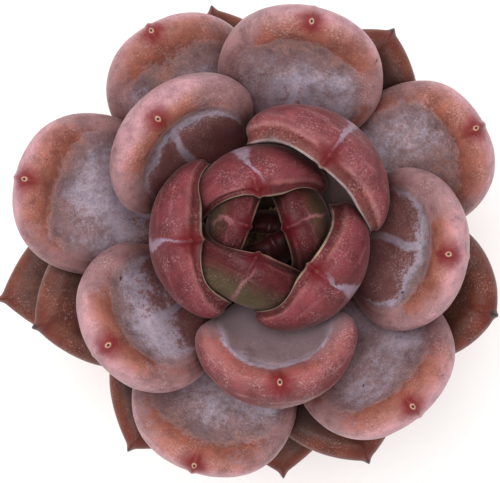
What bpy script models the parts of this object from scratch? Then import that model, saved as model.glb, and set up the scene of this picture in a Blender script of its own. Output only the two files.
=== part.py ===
"""A potted succulent: a rosette of thick leaves on a short stem, in a turned clay pot.

Metres, +Z up. The pot's axis is the Z axis and the pot stands on Z = 0. The leaves grow
one golden angle apart, the youngest in the heart, and each leaf gives way to the backs
of the leaves that lie inside it, as it did in the bud.
"""

import math
from collections import namedtuple

import bmesh
import bpy
import numpy as np
from mathutils import Vector
from mathutils.bvhtree import BVHTree

NAME = "potted_succulent"
MM = 0.001
GAP = 0.3 * MM  # between pieces that touch
MERGE = 0.01 * MM
TURN_STEPS = 32

# Pot: a plain tapered clay flower pot with a thick rim band.
POT_HEIGHT = 64 * MM
RIM_DIAMETER = 71 * MM
RIM_BAND = 16 * MM  # height of the thick band
BODY_TOP_DIAMETER = 65 * MM
BASE_DIAMETER = 48 * MM
WALL = 4 * MM
FLOOR = 5 * MM
HOLE_DIAMETER = 9 * MM
POT_EDGE = 1.2 * MM  # rounding of the pot's edges
FOOT_EDGE = 1.5 * MM

# Mesh disc that keeps the mix from running out of the hole.
MESH_DIAMETER = 22 * MM
MESH_THICKNESS = 0.8 * MM

# Potting mix: its shoulder is below the rim and it rises to the stem.
MIX_BELOW_RIM = 5 * MM
MIX_CROWN = 2 * MM

# Stem.
STEM_OFFSET = (4.1 * MM, 1.8 * MM)  # the plant stands a little off the pot's axis
STEM_RADIUS = 6.8 * MM
STEM_TOP_RADIUS = 2.6 * MM
STEM_NECK = 11 * MM  # bare length above the mix
STEM_LEAFY = 16.5 * MM  # length that carries leaves
STEM_BURIED = 13 * MM
STEM_ROOT_RADIUS = 5 * MM
STEM_TIP = 0.6  # the bud's base, as a share of the stem's top radius
STEM_STATIONS = 7
STEM_TAPER = 1.3  # 1 is a straight cone, more keeps its lower part fuller

# Leaves.
GOLDEN_ANGLE = 137.508
FIRST_AZIMUTH = 70.0
LEAF_AROUND = 16
LEAF_RINGS = 8
CLEARANCE = 0.95 * MM  # from a leaf to the backs of the leaves inside it
KEPT_THICKNESS = 0.62  # share of its thickness that a pressed leaf keeps
PRESS_SLOPE = 0.5  # steepest side of a dent
PRESS_REACH = 26 * MM  # how far behind a leaf the look for inner leaves starts
PRESS_LOOK = 15 * MM  # and how far past its margin it ends
PRESS_STEPS = 12
LEAF_ROUGHNESS = 0.5

Leaf = namedtuple("Leaf", "nudge rise length width")
# From the heart outwards: turn away from the golden angle and mean rise above the level,
# in degrees, then length along the leaf and greatest width, in millimetres.
LEAVES = [
    Leaf(10, 99, 13, 11),
    Leaf(5, 96, 16, 15),
    Leaf(5, 86, 28, 23),
    Leaf(0, 87, 26, 24),
    Leaf(3, 85, 30, 28),
    Leaf(2, 78, 30, 31),
    Leaf(-3, 72, 32, 33),
    Leaf(-2, 66, 33, 34),
    Leaf(2, 57, 36, 36),
    Leaf(2, 52, 40.5, 36),
    Leaf(-1, 45, 42.5, 35),
    Leaf(-4, 40, 45, 34),
    Leaf(-5, 36, 46, 33),
    Leaf(-4, 32, 49, 34),
    Leaf(5, 28, 49, 34),
    Leaf(0, 25, 53, 33),
    Leaf(-3, 22, 48, 31),
    Leaf(0, 19, 49, 34),
    Leaf(5, 16, 46, 32),
    Leaf(3, 13, 45, 30),
    Leaf(2, 11, 46, 30),
    Leaf(-4, 9, 43, 29),
    Leaf(9, 7, 45, 29),
    Leaf(8, 5, 38, 28),
    Leaf(8, 4, 37, 28),
    Leaf(5, 2, 46, 28),
    Leaf(9, 1, 41, 28),
    Leaf(8, 0, 38, 28),
    Leaf(14, -1, 50, 28),
    Leaf(8, -1, 38, 28),
    Leaf(9, -2, 43, 28),
]
BASE_SHARE = 0.36  # half width of a leaf's foot, as a share of the stem's radius there
FOOT_THICKNESS = 1.7  # millimetres

# How a leaf's form changes from the heart outwards: (rank, value) pairs, in degrees,
# millimetres or shares. Between two pairs the value runs evenly.
CURL = ((0, 25), (2, 75), (7, 78), (9, 62), (10, 42), (18, 30), (20, 12), (30, 4))
TIP_CURL = ((0, 5), (4, 15), (9, 28), (10, 38), (18, 38), (20, 14), (30, 8))
THICKNESS = ((0, 3.5), (4, 7.5), (8, 9.5), (18, 9.5), (22, 8), (30, 7))
EDGE_SHARE = ((0, 0.35), (9, 0.34), (18, 0.38), (30, 0.35))  # part above the margin
EDGE_BAND = ((0, 0.6), (4, 0.9), (9, 2.2), (10, 4.5), (18, 4.5), (22, 3), (30, 3))
EDGE_ROUND = ((0, 1.2), (9, 1.4), (10, 1.9), (30, 1.9))  # 1 is a flat bevel, 2 a round
CUP = ((0, 50), (4, 62), (7, 52), (9, 40), (10, 22), (18, 14), (30, 6))
TIP_POWER = ((0, 1.05), (9, 1.0), (10, 0.88), (18, 0.88), (20, 1.7), (30, 2.0))
WIDEST = ((0, 0.55), (9, 0.6), (18, 0.62), (30, 0.6))  # along the leaf
TAPER_POWER = 0.75  # less makes a leaf fuller between its foot and its widest place
BACK_ROUND = 2.2  # 2 is an ellipse, more is fuller towards the leaf's edge
FOOT_FILL = 0.12  # share of its full thickness that a leaf has gained at its foot
WRAP_START = 0.05  # share of its wrap that a leaf has at its foot
WRAP_FULL = 0.6  # along the leaf, where its wrap is whole
CURL_START = 0.6  # along the leaf, where its tip begins to curl
CURL_EASE = 0.15  # share of the tip's curl that the rest of the leaf leans back
CENTRELINE_STEPS = 60
LEAF_NODE = "leaf_{:02d}"

HEART_RED = np.array((0.24, 0.045, 0.05))
OUTER_BROWN = np.array((0.33, 0.17, 0.15))
Finish = namedtuple("Finish", "colour roughness")
CLAY = Finish((0.46, 0.17, 0.08), 0.85)
GRIT = Finish((0.05, 0.033, 0.022), 0.95)
PLASTIC = Finish((0.02, 0.02, 0.02), 0.5)
BARK = Finish((0.28, 0.2, 0.12), 0.8)


def collection(name):
    """A new collection in the scene."""
    made = bpy.data.collections.new(name)
    bpy.context.scene.collection.children.link(made)
    return made


def material(name, finish):
    """A plain material for one sub-part."""
    made = bpy.data.materials.new(name)
    made.use_nodes = True
    shader = made.node_tree.nodes["Principled BSDF"]
    shader.inputs["Base Color"].default_value = (*finish.colour, 1)
    shader.inputs["Roughness"].default_value = finish.roughness
    made.diffuse_color = (*finish.colour, 1)
    return made


def add_object(name, mesh, home, paint):
    """One named sub-part, in its collection, with its own material."""
    made = bpy.data.objects.new(name, mesh)
    mesh.materials.append(paint)
    home.objects.link(made)
    return made


def corner(place, radius, start, end, steps=4):
    """Points of a rounding about a centre (r, z), from one angle to another."""
    r, z = place
    turns = [math.radians(start + (end - start) * i / steps) for i in range(steps + 1)]
    return [(r + radius * math.cos(t), z + radius * math.sin(t)) for t in turns]


def turned(name, profile, home, paint):
    """A closed solid of revolution from an outline of (r, z) points, outer side downwards."""
    mesh = bpy.data.meshes.new(name)
    closed = profile[0][0] > 0
    edges = [(i, i + 1) for i in range(len(profile) - 1)]
    if closed:
        edges.append((len(profile) - 1, 0))
    mesh.from_pydata([(r, 0, z) for r, z in profile], edges, [])
    made = add_object(name, mesh, home, paint)
    screw = made.modifiers.new("turn", "SCREW")
    screw.axis = "Z"
    screw.angle = math.tau
    screw.steps = TURN_STEPS
    screw.render_steps = TURN_STEPS
    screw.use_merge_vertices = True
    screw.merge_threshold = MERGE
    return made


def pot_profile():
    """Outline of the pot's wall, from the rim's top down its outer side and back up inside."""
    rim = RIM_DIAMETER / 2
    band_foot = POT_HEIGHT - RIM_BAND
    hole = HOLE_DIAMETER / 2
    inner_foot = BASE_DIAMETER / 2 - WALL
    e = POT_EDGE
    f = FOOT_EDGE
    top = corner((rim - e, POT_HEIGHT - e), e, 90, 0)
    band = corner((rim - e, band_foot + e), e, 0, -90)
    foot = corner((BASE_DIAMETER / 2 - f, f), f, 0, -90)
    inside = [
        (hole, 0),
        (hole, FLOOR),
        (inner_foot - f, FLOOR),
        (inner_foot, FLOOR + f),
        (inner_radius(band_foot), band_foot),
        (inner_radius(POT_HEIGHT - e), POT_HEIGHT - e),
        (inner_radius(POT_HEIGHT) + e, POT_HEIGHT),
    ]
    return top + band + [(BODY_TOP_DIAMETER / 2, band_foot)] + foot + inside


def inner_radius(height):
    """Radius of the pot's inner face at a height."""
    low = BASE_DIAMETER / 2 - WALL
    high = BODY_TOP_DIAMETER / 2 - WALL
    share = (height - FLOOR) / (POT_HEIGHT - FLOOR)
    return low + (high - low) * share


def mix_levels():
    """Height of the mix at the wall and at the stem."""
    shoulder = POT_HEIGHT - MIX_BELOW_RIM
    return shoulder, shoulder + MIX_CROWN


def mix_profile():
    """Outline of the potting mix as it fills the pot, before the stem's socket is cut."""
    shoulder, crown = mix_levels()
    floor = FLOOR + MESH_THICKNESS + 2 * GAP
    wall = inner_radius(shoulder) - GAP
    foot = inner_radius(floor) - GAP
    return [
        (0, crown),
        (wall / 2, (shoulder + 3 * crown) / 4),
        (wall, shoulder),
        (foot, floor + FOOT_EDGE),
        (foot - FOOT_EDGE, floor),
        (0, floor),
    ]


def buried_profile(clearance):
    """Outline of the stem's buried end, or with a clearance of the socket round it."""
    crown = mix_levels()[1]
    return [
        (STEM_RADIUS + clearance, crown + clearance),
        (STEM_RADIUS + clearance, crown - STEM_BURIED / 2),
        (STEM_ROOT_RADIUS + clearance, crown - STEM_BURIED - clearance),
        (0, crown - STEM_BURIED - clearance),
    ]


def stem_radius(height):
    """Radius of the stem at a height above its lowest leaf: it narrows to the heart."""
    share = min(max(height / STEM_LEAFY, 0), 1)
    return STEM_RADIUS + (STEM_TOP_RADIUS - STEM_RADIUS) * share**STEM_TAPER


def stem_profile():
    """Outline of the stem from its tip down to its buried end, about its own axis."""
    leafy = mix_levels()[1] + STEM_NECK
    tip = STEM_TIP * STEM_TOP_RADIUS
    heights = np.linspace(STEM_LEAFY, 0, STEM_STATIONS)
    side = [(stem_radius(height), leafy + height) for height in heights]
    top = [(0, leafy + STEM_LEAFY + tip), (tip, leafy + STEM_LEAFY + tip * STEM_TIP)]
    return top + side + buried_profile(0)[1:]


def stage(pairs, rank):
    """A form's value at a rank, run evenly between its (rank, value) pairs."""
    ranks, values = zip(*pairs)
    return float(np.interp(rank, ranks, values))


def smooth(x):
    """0 to 1, flat at both ends."""
    x = np.clip(x, 0, 1)
    return x * x * (3 - 2 * x)


def centreline(rank, leaf, foot):
    """Points and elevations along a leaf's middle, as arrays (along, r, z, elevation)."""
    along = np.linspace(0, 1, CENTRELINE_STEPS + 1)
    bend = stage(CURL, rank) * (along - 1 / 2)
    turn_up = smooth((along - CURL_START) / (1 - CURL_START))
    curl = stage(TIP_CURL, rank) * (turn_up - CURL_EASE)
    elevation = np.radians(leaf.rise + bend + curl)
    middle = (elevation[1:] + elevation[:-1]) / 2
    step = leaf.length * MM / CENTRELINE_STEPS
    r = foot[0] + np.concatenate(([0], np.cumsum(np.cos(middle)) * step))
    z = foot[1] + np.concatenate(([0], np.cumsum(np.sin(middle)) * step))
    return along, r, z, elevation


def leaf_form(rank, leaf, directions, foot_half):
    """Places on a leaf before it is bent: along (0 to 1), across, and height off its margin.

    A direction is a point of the unit sphere: X to the leaf's tip, Z to its upper side.
    """
    x, y, z = directions.T
    ring = np.clip(np.hypot(x, y), 0, 1)
    turn = np.arctan2(y, x)
    widest = stage(WIDEST, rank)
    half = leaf.width * MM / 2
    cos, sin = np.cos(turn), np.sin(turn)
    to_tip = cos > 0
    edge_along = widest + np.where(to_tip, 1 - widest, widest) * cos
    foot_share = foot_half / half
    taper = foot_share + (1 - foot_share) * smooth(edge_along / widest) ** TAPER_POWER
    power = np.where(to_tip, stage(TIP_POWER, rank), 1)
    edge_across = half * np.sign(sin) * np.abs(sin) ** power * np.where(to_tip, 1, taper)
    along = widest + (edge_along - widest) * ring
    across = edge_across * ring
    spoke = np.hypot((edge_along - widest) * leaf.length * MM, edge_across)
    inward = (1 - ring) * spoke
    full = smooth(FOOT_FILL + (1 - FOOT_FILL) * along / widest)
    thick = (FOOT_THICKNESS + (stage(THICKNESS, rank) - FOOT_THICKNESS) * full) * MM
    share = stage(EDGE_SHARE, rank)
    rounding = stage(EDGE_ROUND, rank)
    band = np.clip(inward / (stage(EDGE_BAND, rank) * MM), 0, 1)
    upper = thick * share * (1 - (1 - band) ** rounding) ** (1 / rounding)
    depth = np.clip(inward / spoke, 0, 1)
    lower = -thick * (1 - share) * (1 - (1 - depth) ** BACK_ROUND) ** (1 / BACK_ROUND)
    return along, across, np.where(z >= 0, upper, lower)


def leaf_points(rank, leaf, directions, foot):
    """World points of a leaf's surface, and the way its upper side faces at each."""
    along, across, height = leaf_form(rank, leaf, directions, BASE_SHARE * foot[0])
    stations, line_r, line_z, line_e = centreline(rank, leaf, foot)
    r = np.interp(along, stations, line_r)
    z = np.interp(along, stations, line_z)
    elevation = np.interp(along, stations, line_e)
    wrap = math.radians(stage(CUP, rank)) / (leaf.width * MM / 2)
    wrap = wrap * (WRAP_START + (1 - WRAP_START) * smooth(along / WRAP_FULL))
    turn = across * wrap
    side = (1 / wrap - height) * np.sin(turn)
    rise = 1 / wrap - (1 / wrap - height) * np.cos(turn)
    normal_r, normal_z = -np.sin(elevation), np.cos(elevation)
    flat = np.column_stack((r + rise * normal_r, side, z + rise * normal_z))
    facing = np.column_stack((np.cos(turn) * normal_r, -np.sin(turn), np.cos(turn) * normal_z))
    azimuth = math.radians(leaf_azimuth(rank, leaf))
    c, s = math.cos(azimuth), math.sin(azimuth)
    spin = np.array(((c, -s, 0), (s, c, 0), (0, 0, 1)))
    place = np.array((*STEM_OFFSET, 0))
    return flat @ spin.T + place, facing @ spin.T, height


def leaf_azimuth(rank, leaf):
    """Degrees from +X to a leaf's middle."""
    return FIRST_AZIMUTH - GOLDEN_ANGLE * rank + leaf.nudge


def leaf_foot(rank):
    """Where a leaf's middle starts: on the stem, the youngest leaf highest."""
    share = 1 - rank / (len(LEAVES) - 1)
    height = STEM_LEAFY * share
    return stem_radius(height) + GAP, mix_levels()[1] + STEM_NECK + height


def overlap(rank, points, facing, height, inner):
    """How far places on a leaf have to move back to be clear of the leaves inside it."""
    back_share = 1 - stage(EDGE_SHARE, rank)
    need = np.zeros(len(points))
    for i, way in enumerate(facing):
        start = points[i] - way * (PRESS_REACH + height[i])
        hit = inner.ray_cast(Vector(start), Vector(way), PRESS_REACH + PRESS_LOOK)
        if hit[0] is None:
            continue
        room = hit[3] - PRESS_REACH - CLEARANCE
        if height[i] < 0:
            room -= KEPT_THICKNESS * abs(height[i]) / back_share
        need[i] = max(0, height[i] - room)
    return need


def pressed(rank, points, facing, height, mesh, inner):
    """A leaf's points, moved back until they are clear of the leaves inside it.

    Its upper side dents, and its back follows where too little thickness would be left.
    The middles of the faces are looked at too, and the dents' sides run out evenly.
    """
    push = overlap(rank, points, facing, height, inner)
    middles = [field[mesh.faces].mean(axis=1) for field in (points, facing, height)]
    push_faces = overlap(rank, *middles, inner)
    for corner_index in mesh.faces.T:
        np.maximum.at(push, corner_index, push_faces)
    a, b = mesh.edges.T
    drop = np.linalg.norm(points[a] - points[b], axis=1) * PRESS_SLOPE
    for _ in range(PRESS_STEPS):
        np.maximum.at(push, a, push[b] - drop)
        np.maximum.at(push, b, push[a] - drop)
    return points - facing * push[:, None]


Ball = namedtuple("Ball", "directions edges faces")


def ball():
    """Directions, edges and triangles of a sphere with a pole over each face of a leaf."""
    shape = bmesh.new()
    bmesh.ops.create_uvsphere(
        shape, u_segments=LEAF_AROUND, v_segments=LEAF_RINGS, radius=1
    )
    bmesh.ops.triangulate(shape, faces=shape.faces)
    directions = np.array([v.co for v in shape.verts])
    edges = np.array([[v.index for v in e.verts] for e in shape.edges])
    faces = np.array([[v.index for v in f.verts] for f in shape.faces])
    shape.free()
    return Ball(directions, edges, faces)


def add_leaves(home):
    """The rosette, from the heart outwards, each leaf pressed by those inside it."""
    mesh = ball()
    all_points, all_faces = [], []
    for rank, leaf in enumerate(LEAVES):
        foot = leaf_foot(rank)
        points, facing, height = leaf_points(rank, leaf, mesh.directions, foot)
        if all_points:
            inner = BVHTree.FromPolygons(all_points, all_faces)
            points = pressed(rank, points, facing, height, mesh, inner)
        all_faces += (mesh.faces + len(all_points)).tolist()
        all_points += [Vector(point) for point in points]
        add_leaf(rank, points, mesh.faces, home)


def add_leaf(rank, points, faces, home):
    """One leaf as a named object, redder the nearer it is to the heart."""
    name = LEAF_NODE.format(rank + 1)
    mesh = bpy.data.meshes.new(name)
    mesh.from_pydata(points.tolist(), [], faces.tolist())
    mesh.shade_smooth()
    age = rank / (len(LEAVES) - 1)
    colour = HEART_RED + (OUTER_BROWN - HEART_RED) * age
    add_object(name, mesh, home, material(name, Finish(colour.tolist(), LEAF_ROUGHNESS)))


def add_pot(home):
    """The clay pot, and the mesh disc over its hole."""
    turned("pot", pot_profile(), home, material("terracotta", CLAY))
    half = MESH_DIAMETER / 2
    low = FLOOR + GAP
    disc = [(0, low + MESH_THICKNESS), (half, low + MESH_THICKNESS), (half, low), (0, low)]
    turned("drain_mesh", disc, home, material("mesh_plastic", PLASTIC))


def add_mix_and_stem(home, tools):
    """The stem, and the potting mix with a socket cut round the stem's buried end."""
    stem = turned("stem", stem_profile(), home, material("bark", BARK))
    mix = turned("potting_mix", mix_profile(), home, material("grit", GRIT))
    above = [(0, POT_HEIGHT), (STEM_RADIUS + GAP, POT_HEIGHT)]
    socket = turned("stem_socket", above + buried_profile(GAP)[1:], tools, mix.active_material)
    for turned_piece in (stem, socket):
        turned_piece.location = (*STEM_OFFSET, 0)
    socket.hide_render = True
    socket.display_type = "WIRE"
    cut = mix.modifiers.new("socket", "BOOLEAN")
    cut.operation = "DIFFERENCE"
    cut.solver = "EXACT"
    cut.object = socket


def clear_scene():
    """Take out every object that the file opened with."""
    for old in list(bpy.data.objects):
        bpy.data.objects.remove(old, do_unlink=True)


def main():
    clear_scene()
    home = collection(NAME)
    tools = collection("cutters")
    add_pot(home)
    add_mix_and_stem(home, tools)
    add_leaves(home)


main()
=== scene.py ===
# %% [markdown]
# # A potted succulent
# A rosette of thick leaves on a short stem, in a turned clay pot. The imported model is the
# frame: it says where the pot, the mix, the stem and each leaf are. This notebook makes the
# surface that the eye sees round that frame, piece by piece, and keeps every size.

# %% Load the frame
import math
from collections import namedtuple

import bmesh
import bpy
import numpy as np
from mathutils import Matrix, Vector, noise
from mathutils.bvhtree import BVHTree


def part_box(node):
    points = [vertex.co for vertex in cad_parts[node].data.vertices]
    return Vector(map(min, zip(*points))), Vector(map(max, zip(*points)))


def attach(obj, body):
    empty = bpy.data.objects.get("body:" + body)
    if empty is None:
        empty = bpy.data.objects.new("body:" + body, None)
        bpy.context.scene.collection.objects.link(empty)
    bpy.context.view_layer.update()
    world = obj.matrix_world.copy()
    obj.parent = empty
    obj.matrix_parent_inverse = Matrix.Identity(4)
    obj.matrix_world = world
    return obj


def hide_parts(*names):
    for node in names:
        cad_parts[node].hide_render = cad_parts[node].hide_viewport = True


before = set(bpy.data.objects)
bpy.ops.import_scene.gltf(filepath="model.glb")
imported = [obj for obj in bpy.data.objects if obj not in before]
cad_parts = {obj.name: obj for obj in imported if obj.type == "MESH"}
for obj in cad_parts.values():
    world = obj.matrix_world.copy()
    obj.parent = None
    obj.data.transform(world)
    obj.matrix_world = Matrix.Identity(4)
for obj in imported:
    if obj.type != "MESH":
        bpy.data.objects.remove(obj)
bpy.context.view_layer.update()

MM = 0.001
BODY = "root"
print("CAD nodes:", len(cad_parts))

# %% [markdown]
# ## Two helpers
# Colours are written as sRGB hex codes, the way a colour picker shows them, while Blender
# works with linear light. Node trees are built one node at a time: a single function makes
# a node, sets its properties, and gives each input either a value or a link.

# %% Colour and node helpers
FAMILIES = ("Geometry", "Function", "NodeGroup")


def rgb(code):
    """A linear colour with alpha from an sRGB hex code."""
    parts = [int(code[i:i + 2], 16) / 255 for i in (0, 2, 4)]
    linear = [c / 12.92 if c <= 0.04045 else ((c + 0.055) / 1.055) ** 2.4 for c in parts]
    return (*linear, 1.0)


def add(tree, kind, inputs=None, **settings):
    """A new node. An output is linked, a node stands for its first output, and any other
    value is set. A kind with no family in its name is a shader node."""
    node = tree.nodes.new(kind if kind.startswith(FAMILIES) else "ShaderNode" + kind)
    for key, value in settings.items():
        setattr(node, key, value)
    for key, value in (inputs or {}).items():
        if isinstance(value, bpy.types.Node):
            value = value.outputs[0]
        if isinstance(value, bpy.types.NodeSocket):
            tree.links.new(value, node.inputs[key])
        else:
            node.inputs[key].default_value = value
    return node


def blank(name):
    """A new material and its empty node tree."""
    made = bpy.data.materials.new(name)
    made.use_nodes = True
    made.node_tree.nodes.clear()
    return made, made.node_tree


def in_scene(name, data):
    """A new object in the scene."""
    made = bpy.data.objects.new(name, data)
    bpy.context.scene.collection.objects.link(made)
    return made


def paint_ramp(node, stops):
    """Give a colour ramp its (place, hex colour) stops."""
    ramp = node.color_ramp
    while len(ramp.elements) < len(stops):
        ramp.elements.new(1)
    for element, (place, code) in zip(ramp.elements, stops):
        element.position = place
    for element, (place, code) in zip(ramp.elements, stops):
        element.color = rgb(code)


def per(size):
    """A texture's scale for features of that many millimetres."""
    return 1 / (size * MM)


# %% [markdown]
# ## The view
# The rosette is looked at from straight above with a long lens, so that the near leaves
# don't swell. The world's +Y is up in the picture. The pot hides under the leaves.

# %% Camera
CAMERA_HEIGHT = 0.8  # metres above the level of the leaves' tips
TIP_LEVEL = 0.100
ASIDE = (0.5 * MM, 0.2 * MM)  # the rosette's middle is a little off the pot's axis
VIEW_WIDTH = 100 * MM  # what the lens takes in at that level
SENSOR = 36.0  # millimetres

camera_data = bpy.data.cameras.new("camera")
camera_data.sensor_width = SENSOR
camera_data.lens = SENSOR * CAMERA_HEIGHT / VIEW_WIDTH
camera = in_scene("camera", camera_data)
camera.location = (*ASIDE, TIP_LEVEL + CAMERA_HEIGHT)
bpy.context.scene.camera = camera
print("lens:", round(camera_data.lens), "mm")

# %% [markdown]
# ## Floor and light
# A pale floor and a soft white room. One large lamp overhead and a weaker one at the side
# keep the light even, so that the gaps between the leaves go dark; the leaves' skins also
# carry painted shade there.

# %% Floor
FLOOR_HALF = 1.5
FLOOR_WHITE = "fbfaf9"

floor_paint, tree = blank("matt_white_board")
shader = add(tree, "BsdfPrincipled", {"Base Color": rgb(FLOOR_WHITE), "Roughness": 0.9})
add(tree, "OutputMaterial", {"Surface": shader})
floor_mesh = bpy.data.meshes.new("floor")
floor_mesh.from_pydata(
    [(x * FLOOR_HALF, y * FLOOR_HALF, 0) for x, y in ((-1, -1), (1, -1), (1, 1), (-1, 1))],
    [],
    [(0, 1, 2, 3)],
)
floor_mesh.materials.append(floor_paint)
floor = in_scene("floor", floor_mesh)
print("floor:", 2 * FLOOR_HALF, "m wide")


# %% Light
ROOM_STRENGTH = 0.72


def lamp(name, place, size, watts):
    """A square soft lamp that looks at the rosette."""
    data = bpy.data.lights.new(name, "AREA")
    data.shape = "SQUARE"
    data.size = size
    data.energy = watts
    made = in_scene(name, data)
    made.location = place
    aim = Vector((0, 0, TIP_LEVEL)) - Vector(place)
    made.rotation_euler = aim.to_track_quat("-Z", "Y").to_euler()


lamp("overhead", (-0.05, 0.08, 1.3), 0.7, 12)
lamp("side", (-0.8, 0.7, 0.9), 0.8, 3)
world = bpy.data.worlds.new("soft_room")
world.use_nodes = True
world.node_tree.nodes["Background"].inputs["Color"].default_value = rgb("ffffff")
world.node_tree.nodes["Background"].inputs["Strength"].default_value = ROOM_STRENGTH
bpy.context.scene.world = world
bpy.context.scene.view_settings.view_transform = "Standard"

# %% [markdown]
# ## The plan of the rosette
# Leaves grow one golden angle apart, the youngest in the heart. Three numbers make each
# leaf: how steeply it rises, how long it is and how wide. Everything else about its form
# changes slowly from the heart outwards, so it is kept in a few short tables.
# The tables follow the frame's, so each fine leaf lies within a few millimetres of its
# plain one. The leaves round the bud are cupped and bent a little more, the upper side of
# an inner leaf hangs past its margin, and the leaves lie closer together.

# %% Leaf tables
GOLDEN_ANGLE = 137.508
FIRST_AZIMUTH = 70.0
GAP = 0.3 * MM

Leaf = namedtuple("Leaf", "nudge rise length width")
# From the heart outwards: turn away from the golden angle and mean rise above the level,
# in degrees, then length along the leaf and greatest width, in millimetres.
LEAVES = [
    Leaf(10, 99, 13, 11),
    Leaf(5, 96, 16, 15),
    Leaf(5, 86, 28, 23),
    Leaf(0, 87, 26, 24),
    Leaf(3, 85, 30, 28),
    Leaf(2, 78, 30, 31),
    Leaf(-3, 72, 32, 33),
    Leaf(-2, 66, 33, 34),
    Leaf(2, 60, 36, 36),
    Leaf(2, 46, 40.5, 36),
    Leaf(-1, 45, 42.5, 35),
    Leaf(-4, 40, 45, 34),
    Leaf(-5, 36, 46, 33),
    Leaf(-4, 32, 49, 34),
    Leaf(5, 28, 49, 34),
    Leaf(0, 25, 53, 33),
    Leaf(-3, 22, 48, 31),
    Leaf(0, 19, 49, 34),
    Leaf(5, 16, 46, 32),
    Leaf(3, 13, 45, 30),
    Leaf(2, 11, 46, 30),
    Leaf(-4, 9, 43, 29),
    Leaf(9, 7, 45, 29),
    Leaf(8, 5, 38, 28),
    Leaf(8, 4, 37, 28),
    Leaf(5, 2, 46, 28),
    Leaf(9, 1, 41, 28),
    Leaf(8, 0, 38, 28),
    Leaf(14, -1, 50, 28),
    Leaf(8, -1, 38, 28),
    Leaf(9, -2, 43, 28),
]
BASE_SHARE = 0.36  # half width of a leaf's foot, as a share of the stem's radius there
FOOT_THICKNESS = 1.7  # millimetres

# (rank, value) pairs, in degrees, millimetres or shares. Between two pairs the value runs
# evenly.
CURL = ((0, 25), (2, 75), (7, 78), (8, 70), (9, 46), (18, 30), (20, 12), (30, 4))
TIP_CURL = ((0, 5), (4, 15), (8, 26), (9, 38), (18, 38), (20, 14), (30, 8))
THICKNESS = ((0, 3.5), (4, 7.5), (8, 9.5), (18, 9.5), (22, 8), (30, 7))
EDGE_SHARE = ((0, 0.35), (9, 0.34), (18, 0.38), (30, 0.35))  # part above the margin
EDGE_BAND = ((0, 0.6), (4, 0.9), (8, 1.1), (9, 4.5), (18, 4.5), (22, 3), (30, 3))
EDGE_ROUND = ((0, 1.2), (8, 1.4), (9, 1.9), (30, 1.9))  # 1 is a flat bevel, 2 a round
CUP = ((0, 50), (4, 62), (7, 52), (8, 50), (9, 62), (10, 38), (12, 36), (13, 24), (18, 14), (30, 6))
TIP_POWER = ((0, 1.05), (8, 1.0), (9, 1.3), (10, 0.88), (18, 0.88), (20, 1.7), (30, 2.0))
OVERHANG = ((0, 0.3), (3, 0.6), (5, 1.4), (8, 1.9), (9, 0), (30, 0))  # upper edge past the margin
# From the tip to the part that the next leaves cover.
COVERED = ((0, 15), (8, 15), (9, 13), (10, 15), (11, 16), (12, 22), (13, 30), (18, 36), (30, 30))
WIDEST = ((0, 0.55), (9, 0.6), (18, 0.62), (30, 0.6))  # along the leaf
TAPER_POWER = 0.75  # less makes a leaf fuller between its foot and its widest place
BACK_ROUND = 2.2  # 2 is an ellipse, more is fuller towards the leaf's edge
FOOT_FILL = 0.12
WRAP_START = 0.05
WRAP_FULL = 0.6
CURL_START = 0.6
CURL_EASE = 0.15
CENTRELINE_STEPS = 120


def stage_value(pairs, rank):
    """A form's value at a rank."""
    ranks, values = zip(*pairs)
    return float(np.interp(rank, ranks, values))


def smooth(x):
    """0 to 1, flat at both ends."""
    x = np.clip(x, 0, 1)
    return x * x * (3 - 2 * x)


print("leaves:", len(LEAVES))

# %% [markdown]
# ## Where the leaves sit on the stem
# The stem stands a little off the pot's axis. The frame's box of the stem gives its axis,
# its radius and its tip, and from the tip the leaves' feet are counted down.

# %% Stem sizes
STEM_TOP_RADIUS = 2.6 * MM
STEM_LEAFY = 16.5 * MM  # length that carries leaves
STEM_TIP = 0.6  # the bud's base, as a share of the stem's top radius
STEM_TAPER = 1.3  # 1 is a straight cone, more keeps its lower part fuller

stem_low, stem_high = (Vector(place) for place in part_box("stem"))
stem_middle = (stem_low + stem_high) / 2
stem_widest = (stem_high.x - stem_low.x) / 2
leafy_foot = stem_high.z - STEM_TIP * STEM_TOP_RADIUS - STEM_LEAFY
print("stem radius:", round(stem_widest / MM, 2), "mm, lowest leaf at", round(leafy_foot / MM, 1), "mm")


def stem_radius(height):
    """Radius of the stem at a height above its lowest leaf: it narrows to the heart."""
    share = min(max(height / STEM_LEAFY, 0), 1)
    return stem_widest + (STEM_TOP_RADIUS - stem_widest) * share**STEM_TAPER


def leaf_foot(rank):
    """Where a leaf's middle starts: on the stem, the youngest leaf highest."""
    height = STEM_LEAFY * (1 - rank / (len(LEAVES) - 1))
    return stem_radius(height) + GAP, leafy_foot + height


# %% [markdown]
# ## The shape of one leaf
# A leaf is a cushion with a rim: a flat or hollow upper side, a fuller back, and a margin
# where they meet. A subdivision surface could give such a cushion, but its margin would
# drift with every change. Here a sphere is reshaped by a rule instead. Its equator becomes
# the margin, and its poles lie in the middle of the upper side and of the back, where no
# crease shows. The rule then bends the cushion along its middle and cups it across.
# More points are gathered at the tip, which carries a small horny point.

# %% Leaf form
LEAF_AROUND = 112
LEAF_RINGS = 60
TIP_GATHER = 0.7  # 0 spaces the margin's points evenly, 1 gathers all at the tip
POINT_LENGTH = ((0, 0.5), (9, 0.8), (18, 0.9), (20, 0.8), (30, 0.9))  # the horny tip
POINT_WIDTH = ((0, 0.6), (9, 0.6), (18, 0.6), (20, 0.7), (30, 0.7))

Ball = namedtuple("Ball", "directions edges faces")


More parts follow.
